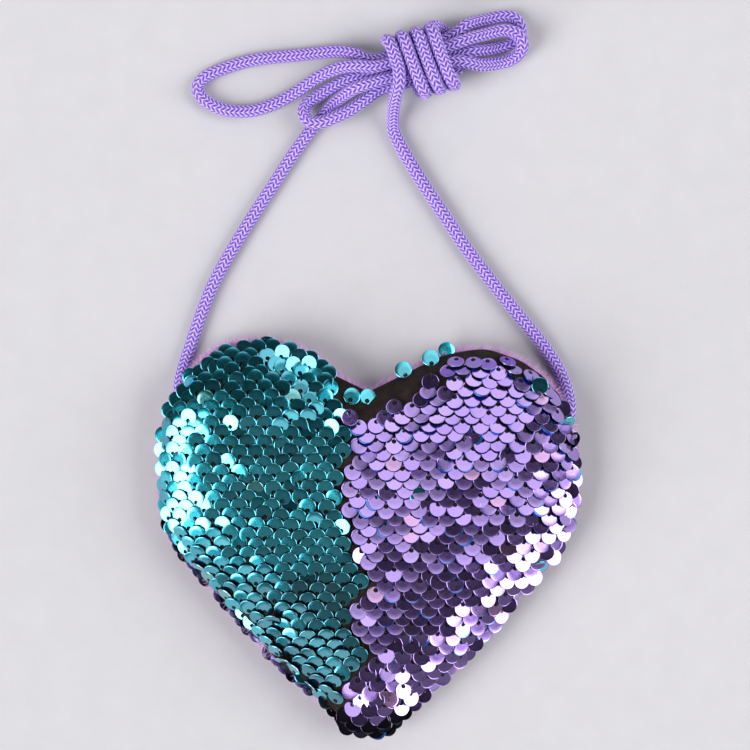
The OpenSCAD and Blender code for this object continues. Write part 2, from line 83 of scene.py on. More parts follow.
def mesh_object(name, verts, faces, mats=(), face_mats=None, smooth_faces=True, attrs=None, uv=None):
    """A mesh from arrays in millimetres; faces are all triangles or all quads, uv goes by face corner."""
    verts = np.asarray(verts, float) * MM
    faces = np.asarray(faces, int)
    mesh = bpy.data.meshes.new(name)
    mesh.vertices.add(len(verts))
    mesh.vertices.foreach_set("co", verts.ravel())
    sides = faces.shape[1]
    mesh.loops.add(faces.size)
    mesh.loops.foreach_set("vertex_index", faces.ravel())
    mesh.polygons.add(len(faces))
    mesh.polygons.foreach_set("loop_start", np.arange(0, faces.size, sides))
    mesh.polygons.foreach_set("loop_total", np.full(len(faces), sides))
    mesh.polygons.foreach_set("use_smooth", np.full(len(faces), smooth_faces))
    if face_mats is not None:
        mesh.polygons.foreach_set("material_index", np.asarray(face_mats, int))
    for key, values in (attrs or {}).items():
        layer = mesh.attributes.new(key, "FLOAT", "POINT")
        layer.data.foreach_set("value", np.asarray(values, float))
    if uv is not None:
        mesh.uv_layers.new(name="knit").data.foreach_set("uv", np.asarray(uv, float).ravel())
    mesh.update(calc_edges=True)
    mesh.validate()
    for mat in mats:
        mesh.materials.append(mat)
    obj = bpy.data.objects.new(name, mesh)
    scene.collection.objects.link(obj)
    return obj


# Materials
class Nodes:
    """Adds nodes to a tree. A socket takes a number, a colour or the socket of another node."""

    def __init__(self, tree):
        self.tree = tree

    def put(self, socket, value):
        if isinstance(value, bpy.types.NodeSocket):
            self.tree.links.new(value, socket)
        else:
            socket.default_value = value

    def node(self, kind, inputs=None, **props):
        n = self.tree.nodes.new(kind)
        for key, value in props.items():
            setattr(n, key, value)
        for key, value in (inputs or {}).items():
            self.put(n.inputs[key], value)
        return n

    def math(self, operation, a, b=0.0):
        return self.node("ShaderNodeMath", {0: a, 1: b}, operation=operation).outputs[0]

    def plus(self, a, b):
        return self.math("ADD", a, b)

    def less(self, a, b):
        return self.math("SUBTRACT", a, b)

    def times(self, a, b):
        return self.math("MULTIPLY", a, b)


class Shader(Nodes):
    """One material, with patterns that go by object coordinates."""

    def __init__(self, name):
        self.mat = bpy.data.materials.new(name)
        self.mat.use_nodes = True
        super().__init__(self.mat.node_tree)
        self.bsdf = self.tree.nodes["Principled BSDF"]

    def set(self, **values):
        for key, value in values.items():
            self.put(self.bsdf.inputs[key.replace("_", " ")], value)

    def coords(self):
        return self.node("ShaderNodeTexCoord").outputs["Object"]

    def noise(self, scale, detail=3.0, roughness=0.5):
        return self.node("ShaderNodeTexNoise", {"Vector": self.coords(), "Scale": scale, "Detail": detail,
                                                "Roughness": roughness}).outputs["Fac"]

    def attribute(self, name):
        return self.node("ShaderNodeAttribute", attribute_name=name).outputs["Fac"]

    def ramp(self, fac, stops):
        n = self.node("ShaderNodeValToRGB", {"Fac": fac})
        points = n.color_ramp.elements
        while len(points) < len(stops):
            points.new(0.5)
        for point, (place, colour) in zip(points, stops):
            point.position = place
            point.color = (*colour, 1.0)
        return n.outputs["Color"]

    def mix(self, fac, pattern, colour):
        """The pattern, and fac of the plain colour in it."""
        inputs = {0: fac, 6: pattern, 7: (*colour, 1.0)}
        return self.node("ShaderNodeMix", inputs, data_type="RGBA").outputs[2]

    def bump(self, height, strength, distance):
        n = self.node("ShaderNodeBump", {"Height": height, "Strength": strength, "Distance": distance})
        self.put(self.bsdf.inputs["Normal"], n.outputs["Normal"])


# Each disc's tint goes by its own value along these stops. At 0.0 the teal and purple films are near black:
# painted shade, given to the discs set dark at the tip, in the low teal field, under the lower left edge and
# among the loose discs.
TINT_STOPS = (0.0, 0.06, 0.45, 0.9, 1.0)
ROUGH_SPREAD = 0.06


def sequin_film(name, tints, roughness, grain):
    """Metal film under clear lacquer: each disc has its own tint, with a fine grain in it. The tints near 0.0
    are near black, as painted shade.
    """
    s = Shader(name)
    tint = s.ramp(s.attribute("own"), list(zip(TINT_STOPS, tints)))
    colour = s.mix(s.times(s.noise(2600.0, 2.0), grain), tint, (0.0, 0.0, 0.0))
    rough = s.plus(s.times(s.noise(700.0, 2.0), 2 * ROUGH_SPREAD), roughness - ROUGH_SPREAD)
    s.set(Base_Color=colour, Metallic=1.0, Roughness=rough, Coat_Weight=1.0, Coat_Roughness=0.1,
          Coat_IOR=1.85)
    s.bump(s.noise(1500.0, 2.0), strength=0.06, distance=0.0001)
    return s.mat


teal_film = sequin_film("teal_film", [(0.0, 0.02, 0.04), (0.01, 0.38, 0.50), (0.02, 0.54, 0.68),
                                      (0.04, 0.64, 0.78), (0.12, 0.56, 0.56)], 0.22, 0.22)
purple_film = sequin_film("purple_film", [(0.02, 0.015, 0.05), (0.34, 0.20, 0.68), (0.40, 0.25, 0.76),
                                          (0.48, 0.32, 0.82), (0.58, 0.32, 0.68)], 0.2, 0.15)
edge_film = sequin_film("edge_film", [(0.3, 0.5, 0.6), (0.35, 0.55, 0.65), (0.45, 0.62, 0.72),
                                      (0.5, 0.7, 0.8), (0.5, 0.7, 0.8)], 0.3, 0.1)
# Glint film: plain blue, for the extra discs tucked under some purple crescents as a painted reflection.
glint_film = sequin_film("glint_film", [(0.03, 0.25, 0.9)] * len(TINT_STOPS), 0.3, 0.1)


def mottled(name, dark, light, scale, detail=3.0, grit=0.5, **values):
    """A shader in two tones with its noise kept as pattern."""
    s = Shader(name)
    s.pattern = s.noise(scale, detail, grit)
    s.set(Base_Color=s.ramp(s.pattern, [(0.3, dark), (0.7, light)]), **values)
    return s


def cloth(name, dark, light, scale, roughness=0.9, sheen=0.2):
    s = mottled(name, dark, light, scale, 4.0, 0.6, Roughness=roughness, Sheen_Weight=sheen)
    s.bump(s.pattern, strength=0.4, distance=0.0003)
    return s.mat


NET_WAVES = 3600.0


def net_material():
    """Stretch net: fine threads that cross on the slant, with dark openings between."""
    s = Shader("mesh_cloth")
    where = s.node("ShaderNodeSeparateXYZ", {"Vector": s.coords()})
    x, y = where.outputs["X"], where.outputs["Y"]
    lines = [s.math("ABSOLUTE", s.math("SINE", s.times(slant, NET_WAVES)))
             for slant in (s.plus(x, y), s.less(x, y))]
    net = s.times(lines[0], lines[1])
    worn = s.times(s.noise(260.0, 4.0, 0.6), 0.7)
    s.set(Base_Color=s.ramp(s.plus(s.times(net, 0.5), worn),
                            [(0.25, (0.042, 0.032, 0.028)), (0.7, (0.004, 0.003, 0.003))]),
          Roughness=0.9, Specular_IOR_Level=0.12)
    s.bump(s.less(worn, net), strength=0.3, distance=0.0003)
    return s.mat


mesh_cloth = net_material()
thread = cloth("thread", (0.006, 0.004, 0.006), (0.02, 0.015, 0.018), 3000.0)
wadding = cloth("wadding", (0.7, 0.68, 0.7), (0.86, 0.84, 0.85), 900.0)
lining = cloth("lining", (0.2, 0.13, 0.36), (0.28, 0.19, 0.46), 1500.0, 0.5, 0.4)
zip_tape = cloth("zip_tape", (0.18, 0.09, 0.42), (0.26, 0.14, 0.52), 2500.0)
plush = cloth("plush", (0.52, 0.26, 0.56), (0.72, 0.42, 0.74), 1200.0, 0.95, 0.5)
zip_coil = mottled("zip_coil", (0.17, 0.08, 0.42), (0.24, 0.12, 0.52), 900.0, Roughness=0.35).mat
zip_metal = mottled("zip_metal", (0.62, 0.62, 0.65), (0.76, 0.76, 0.78), 500.0, Metallic=1.0,
                    Roughness=0.24).mat


# Heart outline: the same hull of four circles and the cleft point as the CAD
HEART_W, HEART_H = 118.0, 108.0
LOBE_R, CLEFT_DROP, SIDE_R, SIDE_Y, HIP_R, HIP_DROP, TIP_R = 28.5, 12.3, 32.0, 15.0, 37.4, 8.0, 11.5
SEAM_Z, FRONT_RISE, FRONT_REACH, BACK_REACH, PUFF_POWER = 6.4, 10.5, 24.0, 13.0, 2.2
CLEFT = np.array([0.0, HEART_H / 2 - CLEFT_DROP])
MIDDLE = np.array([0.0, SIDE_Y / 2])
CIRCLES = [(CLEFT, 0.0), (np.array([HEART_W / 2 - LOBE_R, HEART_H / 2 - LOBE_R]), LOBE_R),
           (np.array([HEART_W / 2 - SIDE_R, SIDE_Y]), SIDE_R), (np.array([0.0, -HIP_DROP]), HIP_R),
           (np.array([0.0, TIP_R - HEART_H / 2]), TIP_R)]
SAME_POINT = 0.12


def half_heart(step):
    """The outline's right half, from the tip up to the cleft, at a step in degrees."""
    points = []
    for a in np.radians(np.arange(-90.0, 130.01, step)):
        n = np.array([math.cos(a), math.sin(a)])
        k = int(np.argmax([c @ n + r for c, r in CIRCLES]))
        p = CIRCLES[k][0] + CIRCLES[k][1] * n
        if p[0] >= -1e-9 and k and (not points or np.linalg.norm(p - points[-1]) > SAME_POINT):
            points.append(p)
    return np.array(points + [CLEFT])


def whole_heart(step):
    half = half_heart(step)
    return np.concatenate([half, np.column_stack([-half[-2:0:-1, 0], half[-2:0:-1, 1]])])


HALF = half_heart(2.0)
EDGE_A, EDGE_B = HALF[:-1], HALF[1:]
EDGE = EDGE_B - EDGE_A


def nearest(q):
    """Depth inside the outline and its nearest point, for each q."""
    q = np.atleast_2d(q).astype(float)
    m = np.stack([abs(q[:, 0]), q[:, 1]], 1)
    t = np.clip(((m[:, None] - EDGE_A) * EDGE).sum(2) / (EDGE * EDGE).sum(1), 0, 1)
    feet = EDGE_A + t[..., None] * EDGE
    gaps = np.linalg.norm(m[:, None] - feet, axis=2)
    k = gaps.argmin(1)
    rows = np.arange(len(q))
    w = m - EDGE_A[k]
    inside = EDGE[k, 0] * w[:, 1] - EDGE[k, 1] * w[:, 0] >= 0
    foot = feet[rows, k].copy()
    foot[:, 0] *= np.where(q[:, 0] < 0, -1, 1)
    return np.where(inside, gaps[rows, k], -gaps[rows, k]), foot


def puff(d, rise, reach):
    return rise * (1 - (1 - np.clip(d / reach, 0, 1)) ** PUFF_POWER) ** (1 / PUFF_POWER)


def front_z(place):
    """Height of the padded front over one point of the plan."""
    return SEAM_Z + float(puff(nearest(place)[0][0], FRONT_RISE, FRONT_REACH))


def arc_lengths(steps=24):
    """How long the cloth's arc is at each depth inside the outline."""
    table, d, s = [(0.0, 0.0)], 0.0, 0.0
    for i in range(1, steps + 1):
        e = FRONT_REACH * (i / steps) ** 2
        s += math.hypot(e - d, puff(e, FRONT_RISE, FRONT_REACH) - puff(d, FRONT_RISE, FRONT_REACH))
        table.append((s, e))
        d = e
    return np.array(table)


ARC = arc_lengths()
ARC_FULL = ARC[-1, 0]
ARC_EXTRA = ARC_FULL - FRONT_REACH


def on_front(q):
    """Flat cloth coordinates carried onto the padded front."""
    q = np.atleast_2d(q).astype(float)
    dep, foot = nearest(q)
    s = dep + ARC_EXTRA
    d = np.where(s >= ARC_FULL, dep, np.interp(s, ARC[:, 0], ARC[:, 1]))
    inward = np.where((dep > 0)[:, None], q - foot, foot - q)
    close = np.linalg.norm(inward, axis=1, keepdims=True) < SAME_POINT
    inward = np.where(close, unit(MIDDLE - foot), unit(inward))
    p = foot + inward * d[:, None]
    return np.column_stack([p, SEAM_Z + puff(d, FRONT_RISE, FRONT_REACH)])


# Cord: the CAD's route, one knitted tube from shoulder to shoulder
KNOT_AT, KNOT_TURN = (14.7, 136.0), math.radians(15.0)
LEFT_ARM = [(-52.9, 37.2, 4.6), (-54, 41.4, 4.4), (-53.9, 45, 3.4), (-53, 49, 2.4), (-51.8, 53, 1.9),
            (-48.1, 63.9, 1.85), (-44.7, 72.5, 1.85), (-40.1, 81.1, 1.85), (-34.4, 90.5, 1.85),
            (-28.1, 100.2, 1.85), (-21.9, 109.7, 1.85)]
LEFT_IN = [(-17.5, 115.8, 1.9), (-13.5, 120.6, 2), (-10.6, 124, 2.4), (-7.2, 126.6, 5.6), (-3.5, 128.7, 8.9),
           (2.7, 130.6, 9.8)]
RIGHT_LOW = [(-7, -2.1, 9.8), (0, -2.1, 9.8), (7, -2.1, 9.8), (10, -2.5, 9.7), (13, -3.5, 9), (16, -4.9, 6.8),
             (19, -5.4, 4.3), (22, -5.6, 2.8), (25.5, -5.6, 2.8), (28.5, -4.4, 4.2), (29.9, -1.6, 5.9),
             (28.8, 1.1, 6.2), (26, 2.8, 6), (23, 3.1, 5.8), (20, 3.1, 6.4), (16, 3, 8.3), (12, 2.6, 9.7),
             (7, 2.1, 9.8), (0, 2.1, 9.8), (-7, 2.1, 9.8)]
BIG_LOOP = [(1.6, 134.7, 9.8), (-3.5, 135, 9.2), (-8.7, 134.4, 7.2), (-14.7, 131.9, 4.6), (-20.7, 128, 2.5),
            (-26.7, 124.8, 1.9), (-32.7, 122.8, 1.9), (-38.7, 122.5, 1.85), (-43.6, 123.7, 1.85),
            (-47.6, 126.2, 1.85), (-49, 129.4, 1.85), (-46.7, 132.5, 1.85), (-40.7, 135.1, 1.85),
            (-32.7, 137.3, 1.85), (-20.7, 138.6, 1.85), (-15, 139.2, 2.1), (-9, 139.6, 3.4), (-4, 138.8, 5),
            (1, 136.9, 6.1)]
RIGHT_HIGH = [(-7, 4.2, 6.1), (0, 4.2, 6.1), (7, 4.2, 6.1), (11.5, 5.3, 6.3), (15, 6.9, 5.8),
              (18.5, 7.4, 3.4), (22, 7.3, 1.9), (26.5, 7.1, 1.85), (29.5, 5.8, 1.85), (30.6, 3, 1.85),
              (29.5, 0.2, 1.85), (26.5, -1.1, 1.85), (22, -1.2, 1.95), (18.6, -1, 3.8), (15.2, -0.6, 5.9),
              (12, -0.2, 6.2), (7, 0, 6.1), (0, 0, 6.1), (-7, 0, 6.1)]
SMALL_LOOP = [(2.2, 132.6, 6), (-4, 131.9, 5), (-9, 130, 3.4), (-14, 127.1, 2.2), (-17.6, 124.6, 2.6),
              (-18.5, 121.8, 4), (-17, 119.4, 5.4), (-13.8, 119, 6.2), (-10, 120.3, 6.2), (-5.4, 122.5, 5.9),
              (-0.8, 125.6, 6), (3.2, 128.4, 6.1)]
UNDER = [(-7, -4.2, 6.1), (0, -4.2, 6.1), (6.8, -4.2, 6.1), (10, -4.3, 5), (11.9, -2.8, 2.6), (12, 0.4, 1.85),
         (10.8, 4.2, 1.85), (8.9, 7.6, 2.3), (6.9, 9.2, 4.6)]
WRAP_CENTRE, WRAP_HALF, WRAP_POWER = (0.0, 7.95), (8.6, 6.15), 3.2
WRAP_PLACES = [5.2, 6.2, 8.0, 4.9, 1.0, 2.0, 3.8, 0.7, -3.2, -2.2, -0.4, -3.5, -7.4, -6.4]
RIGHT_OUT = [(-7.4, -4.4, 13.7), (-9.2, -7.6, 10.8), (-10.6, -10.6, 6.8), (-11.6, -13.8, 3.3),
             (-12.1, -17, 1.95)]
RIGHT_ARM = [(10.4, 110.5, 1.85), (16.1, 101.1, 1.85), (21.9, 92.5, 1.85), (27.6, 83.9, 1.85),
             (34.7, 74.5, 1.85), (41.9, 65.4, 1.85), (49, 56.8, 1.85), (53.6, 50.2, 1.85), (56.2, 44.6, 2.2),
             (57.4, 40.2, 3.2), (57.6, 36, 4.4), (56.4, 31.8, 4.6)]


def knot_points(route):
    c, s = math.cos(KNOT_TURN), math.sin(KNOT_TURN)
    return [(KNOT_AT[0] + u * c - v * s, KNOT_AT[1] + u * s + v * c, z) for u, v, z in route]


def wraps(quarter=6):
    """The wraps round the bundle: rounded boxes that step along it at each quarter turn."""
    def bulge(c):
        return math.copysign(abs(c) ** (2 / WRAP_POWER), c)

    route = []
    for k in range(0, (len(WRAP_PLACES) - 1) * quarter + 1, quarter // 2):
        a, q = math.radians(k * 90 / quarter), k // quarter
        u = np.interp(k / quarter, range(len(WRAP_PLACES)), WRAP_PLACES)
        route.append((u, WRAP_CENTRE[0] + WRAP_HALF[0] * bulge(math.cos(a)),
                      WRAP_CENTRE[1] + WRAP_HALF[1] * bulge(math.sin(a))))
    return route


cord_route = np.array(LEFT_ARM + LEFT_IN + knot_points(RIGHT_LOW) + BIG_LOOP + knot_points(RIGHT_HIGH)
                      + SMALL_LOOP + knot_points(UNDER) + knot_points(wraps()) + knot_points(RIGHT_OUT)
                      + RIGHT_ARM, float)


def even_run(route, gap, pieces=24):
    """Catmull-Rom through the route: points an even gap apart, and how far along each lies."""
    pts, last = [], len(route) - 1
    for i in range(last):
        p0, p1, p2, p3 = route[max(i - 1, 0)], route[i], route[i + 1], route[min(i + 2, last)]
        for t in np.arange(0, 1, 1 / pieces):
            pts.append(0.5 * (2 * p1 + t * (p2 - p0) + t * t * (2 * p0 - 5 * p1 + 4 * p2 - p3)
                              + t ** 3 * (3 * p1 - p0 - 3 * p2 + p3)))
    pts = np.array(pts + [route[-1]])
    lengths = run_lengths(pts)
    at = np.linspace(0, lengths[-1], int(round(lengths[-1] / gap)) + 1)
    return places_at(at, lengths, pts), at


def carried_frames(path):
    """Two directions square to the path at each point, carried along without twist."""
    t = unit(np.gradient(path, axis=0))
    a = np.empty_like(path)
    v = np.array([0.0, 0.0, 1.0])
    for i in range(len(path)):
        v = v - (v @ t[i]) * t[i]
        v /= np.linalg.norm(v)
        a[i] = v
    return a, np.cross(t, a)


CORD_D, CORD_SIDES, RING_GAP = 3.6, 40, 0.36
STITCH, WALES, WALE_SHIFT = 1.35, 10, 0.125
SLANT, GAP_U, GAP_V = 0.9, 0.38, 0.24
YARN_PROUD, GAP_DEPTH = 0.07, 0.3


def stitch_hole(u, v):
    """1 at the middle of each gap between the stitches, 0 on the yarn; u counts wales, v stitches."""
    across = (u % 1.0) - 0.5
    down = ((v + SLANT * across * (1 - 2 * (np.floor(u) % 2))) % 1.0) - 0.5
    return np.exp(-(across / GAP_U) ** 2 - (down / GAP_V) ** 2)


def knitted_tube(path, along):
    """Points, faces and knit coordinates of the tube round the path."""
    side_a, side_b = carried_frames(path)
    turns = np.arange(CORD_SIDES)
    theta, wale = turns * 2 * math.pi / CORD_SIDES, turns * WALES / CORD_SIDES
    r, c = np.meshgrid(np.arange(len(path)), turns, indexing="ij")
    radius = CORD_D / 2 + YARN_PROUD - GAP_DEPTH * stitch_hole(wale[c] + WALE_SHIFT, along[r] / STITCH)
    ring = np.cos(theta)[None, :, None] * side_a[:, None] + np.sin(theta)[None, :, None] * side_b[:, None]
    verts = path[:, None] + ring * radius[..., None]
    r, c = r[:-1], c[:-1]
    corners = [(r, c), (r, c + 1), (r + 1, c + 1), (r + 1, c)]
    quads = np.stack([i * CORD_SIDES + j % CORD_SIDES for i, j in corners], -1)
    uv = np.stack([np.stack([j * WALES / CORD_SIDES + WALE_SHIFT, along[i] / STITCH], -1)
                   for i, j in corners], 2)
    return verts.reshape(-1, 3), quads.reshape(-1, 4), uv.reshape(-1, 2)


def knit_material():
    """Knitted loops: legs of lilac yarn that slant one way and the other, painted dark in the gaps between as
    shade and pale along the middle of each leg as a highlight.
    """
    s = Shader("knit")
    uv = s.node("ShaderNodeSeparateXYZ", {"Vector": s.node("ShaderNodeUVMap", uv_map="knit").outputs["UV"]})
    u, v = uv.outputs["X"], uv.outputs["Y"]
    turn = s.less(1.0, s.times(s.math("MODULO", s.math("FLOOR", u), 2.0), 2.0))
    across = s.less(s.math("FRACT", u), 0.5)
    slid = s.plus(v, s.times(s.times(across, SLANT), turn))
    down = s.less(s.math("FRACT", slid), 0.5)

    def square(value, width):
        return s.math("POWER", s.math("ABSOLUTE", s.math("DIVIDE", value, width)), 2.0)

    reach = s.plus(square(across, GAP_U * 1.15), square(down, GAP_V * 1.15))
    # The ramp runs from near-black violet in the middle of each gap to pale lilac on the yarn: painted shade
    # in the gaps and a painted highlight along the legs, over the yarn's own lilac.
    yarn = s.ramp(s.times(reach, 0.25), [(0.08, (0.06, 0.015, 0.28)), (0.2, (0.14, 0.06, 0.46)),
                                         (0.33, (0.34, 0.21, 0.72)), (0.6, (0.54, 0.38, 0.90)),
                                         (1.0, (0.78, 0.62, 1.0))])
    s.set(Base_Color=s.mix(s.times(s.noise(3200.0, 3.0), 0.18), yarn, (0.26, 0.14, 0.60)),
          Roughness=0.6, Sheen_Weight=0.15)
    ply = s.math("SINE", s.times(s.plus(slid, s.times(across, 0.8)), 31.4))
    s.bump(s.plus(s.math("MINIMUM", reach, 2.0), s.times(ply, 0.15)), strength=0.5, distance=0.0002)
    return s.mat


path, along = even_run(cord_route, RING_GAP)
verts, quads, knit_uv = knitted_tube(path, along)
cord = mesh_object("knitted_cord", verts, quads, [knit_material()], uv=knit_uv)
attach(cord, "purse")
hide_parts("cord_arm_left", "cord_arm_right", "cord_hank")


# Sequins: the disc, its thread, the lattice it is sewn on and the line between the colours
SEQ_R, SEQ_T, HOLE_R, HOLE_OFF, SEWN_OFF = 2.42, 0.09, 0.67, 1.22, 1.7
RIM = [(0.0, 0.0), (0.5, 0.0), (0.935, 0.0), (0.972, 0.22), (1.0, 1.0)]
RIM_CIRCLES = (2, 3)
TEAL_BEND, PURPLE_BEND, DISC_SIDES = -0.1, 0.035, 24
THREAD_HALF_W = 0.11
PITCH, ROW, LEAN, LIFT = 4.9, 2.6, 13.0, 0.35
COLOUR_LINE = np.array([(-0.5, -0.07), (-0.37, -0.057), (-0.321, -0.018), (-0.291, 0.003), (-0.259, -0.006),
                        (-0.213, -0.045), (-0.154, -0.033), (-0.083, 0.01), (-0.009, -0.039), (0.074, -0.039),
                        (0.12, -0.059), (0.204, -0.042), (0.259, -0.031), (0.352, -0.042), (0.5, -0.042)])
TEAL, PURPLE, WALL, THREAD, GLINTING = range(5)
FILMS = [teal_film, purple_film, edge_film, thread, glint_film]
# GLINT marks those extra discs, which take the glint film on every face but the thread: painted reflection.
GLINT = -1.0


def disc_shape(bend, hole_off):
    """One disc about its thread hole, its rim bent by bend: top, underside, rim wall and the thread."""
    phi = np.arange(DISC_SIDES) * 2 * math.pi / DISC_SIDES
    spokes = np.column_stack([np.cos(phi), np.sin(phi)])
    centre, hole = np.array([0, hole_off]), spokes * HOLE_R
    rings = [np.column_stack([hole + (centre + spokes * SEQ_R - hole) * share,
                              np.full(DISC_SIDES, bend * drop)]) for share, drop in RIM]
    for i in RIM_CIRCLES:
        rings[i][:, :2] = centre + spokes * SEQ_R * RIM[i][0]
    low = np.concatenate(rings)
    top = low + [0, 0, SEQ_T]
    wall = np.concatenate([low[-DISC_SIDES:], top[-DISC_SIDES:]])
    back = hole_off - SEQ_R
    stitch = np.array([(x, y, z) for y, z in ((0.35, 0.0), (0.1, 0.14), (back / 2, 0.2), (back - 0.08, 0.12),
                                              (back - 0.2, -0.1)) for x in (-THREAD_HALF_W, THREAD_HALF_W)])
    n, k = DISC_SIDES, np.arange(DISC_SIDES)
    m = (k + 1) % n
    strips = np.concatenate([np.column_stack([r * n + k, (r + 1) * n + k, (r + 1) * n + m, r * n + m])
                             for r in range(len(rings) - 1)])
    sewn = np.array([(i, i + 2, i + 3, i + 1) for i in range(0, len(stitch) - 2, 2)])
    verts = np.concatenate([top, low, wall, stitch])
    faces = np.concatenate([strips, strips[:, ::-1] + len(top),
                            np.column_stack([k, m, m + n, k + n]) + 2 * len(top),
                            sewn + len(verts) - len(stitch)])
    return verts, faces, np.repeat([0, 1, 2, 3], [len(strips), len(strips), n, len(sewn)])


def discs(name, holes, right, ahead, up, own, teal_up, node, body, slot, hole_off=HOLE_OFF):
    """A mesh of discs with the thread hole at each of holes and the free edge ahead."""
    verts, faces, films = [], [], []
    shape = {True: disc_shape(TEAL_BEND, hole_off), False: disc_shape(PURPLE_BEND, hole_off)}
    sides = {True: np.array([TEAL, PURPLE, WALL, THREAD]), False: np.array([PURPLE, TEAL, WALL, THREAD])}
    size = len(shape[True][0])
    for k in range(len(holes)):
        v, f, part = shape[bool(teal_up[k])]
        film = sides[bool(teal_up[k])][part]
        verts.append(holes[k] + v[:, :1] * right[k] + v[:, 1:2] * ahead[k] + v[:, 2:] * up[k])
        faces.append(f + k * size)
        # Painted reflection: a disc marked GLINT is blue all over but its thread.
        films.append(np.where(film == THREAD, THREAD, GLINTING) if own[k] == GLINT else film)
    obj = mesh_object(name, np.concatenate(verts), np.concatenate(faces), FILMS, np.concatenate(films),
                      attrs={"own": np.repeat(own, size)})
    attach(obj, body)
    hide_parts(node)


def tilted(right, ahead, up, lean, roll):
    """Turns each frame by lean about right, then by roll about ahead, in degrees."""
    c, s = np.cos(np.radians(lean))[:, None], np.sin(np.radians(lean))[:, None]
    ahead, up = ahead * c + up * s, up * c - ahead * s
    c, s = np.cos(np.radians(roll))[:, None], np.sin(np.radians(roll))[:, None]
    return right * c - up * s, ahead, up * c + right * s


def mirroring(place):
    """The tilt at which a disc shows the light from that place of the sky straight up."""
    x, y = place
    return unit(np.array([x, y, 1 + math.sqrt(1 - x * x - y * y)]))


def lattice_points():
    rows = math.ceil(HEART_H / ROW / 2) + 3
    cols = math.ceil(HEART_W / PITCH / 2) + 3
    return np.array([((i + 0.5 * (j % 2)) * PITCH, j * ROW) for j in range(-rows, rows + 1)
                     for i in range(-cols, cols + 1)])


def is_teal(q):
    return q[:, 0] < HEART_W * np.interp(q[:, 1] / HEART_H, COLOUR_LINE[:, 0], COLOUR_LINE[:, 1])


CLEFT_BARE = 4.8
BARE_END, BARE_W, BARE_TO_X = np.array([20.8, 52.3]), 5.5, 21.0


def on_cloth(q, keep):
    """At least keep inside the seam, along the cloth, and clear of the cleft."""
    return (nearest(q)[0] + ARC_EXTRA > keep) & (np.linalg.norm(q - CLEFT, axis=1) > CLEFT_BARE)


def off_shoulder(q):
    """Past the bare band of cloth that runs from the cleft up to the right lobe."""
    run = unit(BARE_END - CLEFT)
    inside = (q - CLEFT) @ np.array([run[1], -run[0]])
    return (inside > BARE_W) | (q[:, 0] > BARE_TO_X)


def swell(q, length, turn):
    """Slow waves over the cloth, about -1 to 1."""
    x, y = q[:, 0] / length, q[:, 1] / length
    return (np.sin(x + turn) * np.cos(1.3 * y - turn) + np.sin(0.7 * x - 1.9 * y + 2 * turn)) / 2


# How the sewn discs stray from their lattice, in millimetres and degrees
PLACE_SPREAD, ROW_WAVE, VEER_SPREAD, TILT_SPREAD, FLANK_SPREAD = 0.2, 0.55, 6.0, 3.6, 9.0
ODD_SHARE, ODD_LEAN, FLATTENED = 0.06, (-14, 16), (0.25, 0.85)
# What share of them shines, is dark (tilted to the dim overhead and given a low tint as painted shade) or has
# a painted glint under it (a blue disc as painted reflection), and how tints and mirrored places spread
SHOWS_SHARE, DARK_FLANK, DARK_TIP, DARK_CROWN = 0.2, 0.22, 0.9, 0.8
TINT_MEAN, TINT_SPREAD, TINT_RANGE, BRIGHT_SHARE, GLINT_SHARE = 0.42, 0.2, (0.06, 0.86), 0.03, 0.09
MIRROR_SPREAD, TURNED_LIFT = 0.06, 0.3
# Where the blue painted-reflection disc sits under its disc: ahead, to the side and below.
GLINT_AHEAD, GLINT_ASIDE, GLINT_BELOW = 0.3, 0.35, 0.16
# Parts of the sky that a disc can mirror straight up
LEFT_BOX, RIGHT_BOX, FAR_SIDE, NEAR_SIDE = (-0.66, -0.38), (0.76, 0.05), (0.12, 0.62), (0.0, -0.86)
OVERHEAD = (0.0, 0.05)


def squared(ahead, up):
    """The way ahead made square to up."""
    return unit(ahead - (ahead * up).sum(1, keepdims=True) * up)


def sewn_frames(flat, way):
    """Thread hole, free edge's way and normal of discs sewn at the flat places, and how steep each lies."""
    n, y = len(flat), flat[:, 1]
    loosened = 1 + 1.5 * smooth(y, 41, 46)[:, None]
    q = flat + rng.normal(0, PLACE_SPREAD, (n, 2)) * loosened
    q[:, 1] += ROW_WAVE * swell(flat, 7.0, 0.4)
    here, fore, side = on_front(q), on_front(q + [0, way * SEWN_OFF]), on_front(q + [SEWN_OFF, 0])
    ahead, across = unit(fore - here), unit(side - here)
    up = unit(np.cross(across, ahead)) * way
    veer = np.radians(rng.normal(0, VEER_SPREAD, n))[:, None]
    ahead = ahead * np.cos(veer) + np.cross(ahead, up) * np.sin(veer)
    steep = smooth(-up[:, 2], -0.84, -0.5)
    lean = LEAN - 3.0 * way * np.tanh(y / 22) + 3.6 * swell(flat, 4.2, 1.0) + rng.normal(0, TILT_SPREAD, n)
    lean = lean + np.where(rng.random(n) < ODD_SHARE, rng.uniform(*ODD_LEAN, n), 0)
    lean = lean + steep * rng.normal(0, FLANK_SPREAD, n)
    roll = 3.0 * swell(flat, 5.0, 2.2) + rng.normal(0, TILT_SPREAD, n)
    roll = roll + steep * rng.normal(0, FLANK_SPREAD, n)
    flatter = smooth(-up[:, 2], -0.72, -0.3) * rng.uniform(*FLATTENED, n)
    up = unit(up + flatter[:, None] * ([0, 0, 1] - up))
    ahead = squared(ahead, up)
    _, ahead, up = tilted(np.cross(ahead, up), ahead, up, lean, roll)
    return here, ahead, up, steep


